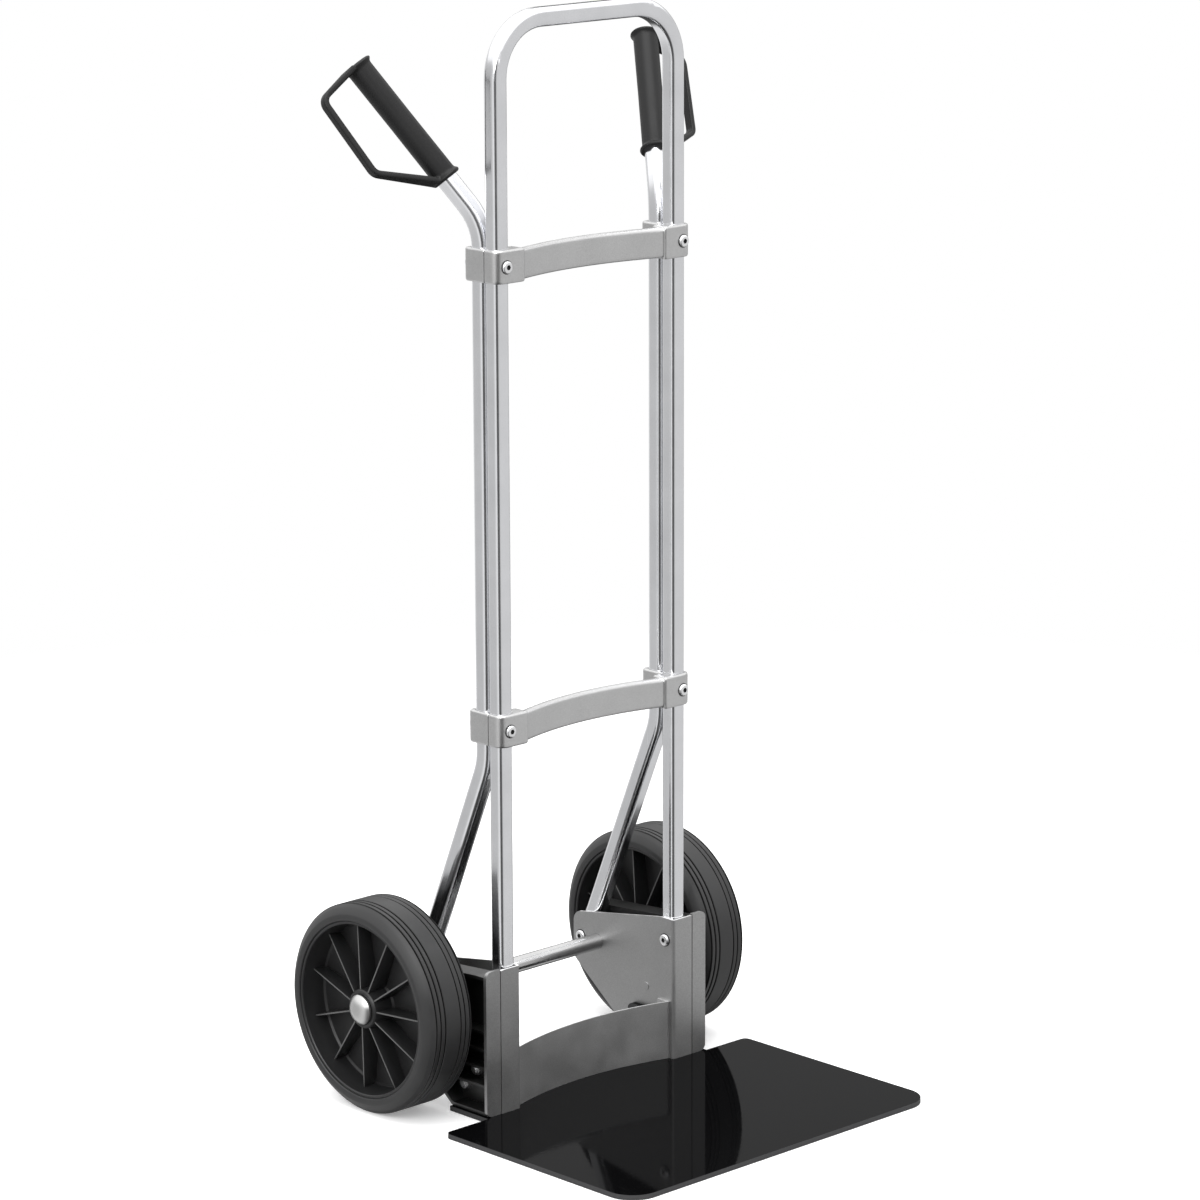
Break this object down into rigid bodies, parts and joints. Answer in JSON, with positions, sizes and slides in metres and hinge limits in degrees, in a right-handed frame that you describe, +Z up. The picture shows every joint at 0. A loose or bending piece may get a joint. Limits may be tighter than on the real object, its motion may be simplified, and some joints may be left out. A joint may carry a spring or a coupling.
{
  "type": "hand truck",
  "caption": "Upright two-wheeled hand truck: loop-handled tube frame with bowed cross braces, knuckle-guard grips, solid wheels and a flat toe plate.",
  "frame": {"origin": "on the floor under the toe plate, midway between the wheels, in the plane of the front tube", "axes": "+Z up along the tubes, the toe plate reaches to -Y, the wheels' axle lies along X at +Y"},
  "size_m": [0.573, 0.575, 1.3],
  "materials": {
    "tube_aluminium": "satin drawn tube",
    "zinc_steel": "bright zinc plate",
    "cast_aluminium": "blasted casting",
    "cheek_sheet": "satin sheet",
    "bracket_casting": "rough casting",
    "panel_sheet": "satin sheet",
    "black_enamel": "gloss black stove enamel on steel",
    "axle_steel": "turned bar",
    "tyre_rubber": "solid rubber",
    "wheel_plastic": "moulded black plastic",
    "bush_nylon": "natural nylon",
    "cap_steel": "pressed cap",
    "grip_plastic": "soft matte black moulding"
  },
  "bodies": {
    "frame": {"axle": "axle_steel", "axle_cap_left": "cap_steel", "axle_cap_right": "cap_steel", "axle_washers": "zinc_steel", "brace_bolts": "zinc_steel", "brace_nuts": "zinc_steel", "cheek_bolts": "zinc_steel", "cheek_nuts": "zinc_steel", "grip_left": "grip_plastic", "grip_right": "grip_plastic", "inner_cheek_left": "cheek_sheet", "inner_cheek_right": "cheek_sheet", "lower_brace": "cast_aluminium", "lower_clamp_cap_left": "cast_aluminium", "lower_clamp_cap_right": "cast_aluminium", "lower_panel": "panel_sheet", "main_frame": "tube_aluminium", "outer_bracket_left": "bracket_casting", "outer_bracket_right": "bracket_casting", "panel_rivets": "zinc_steel", "rear_tube_left": "tube_aluminium", "rear_tube_right": "tube_aluminium", "spacer_sleeves": "zinc_steel", "toe_plate": "black_enamel", "toe_plate_bolts": "zinc_steel", "toe_plate_nuts": "zinc_steel", "tube_plugs": "wheel_plastic", "upper_brace": "cast_aluminium", "upper_clamp_cap_left": "cast_aluminium", "upper_clamp_cap_right": "cast_aluminium"},
    "wheel_left": {"rim_barrel_left": "wheel_plastic", "rim_hub_left": "wheel_plastic", "rim_webs_left": "wheel_plastic", "tyre_left": "tyre_rubber", "wheel_bushes_left": "bush_nylon"},
    "wheel_right": {"rim_barrel_right": "wheel_plastic", "rim_hub_right": "wheel_plastic", "rim_webs_right": "wheel_plastic", "tyre_right": "tyre_rubber", "wheel_bushes_right": "bush_nylon"}
  },
  "joints": [
    {"name": "wheel_left_spin", "type": "hinge", "parent": "frame", "child": "wheel_left", "pos_m": [-0.2265, 0.119, 0.127], "axis": [1, 0, 0], "continuous": true},
    {"name": "wheel_right_spin", "type": "hinge", "parent": "frame", "child": "wheel_right", "pos_m": [0.2265, 0.119, 0.127], "axis": [1, 0, 0], "continuous": true}
  ]
}
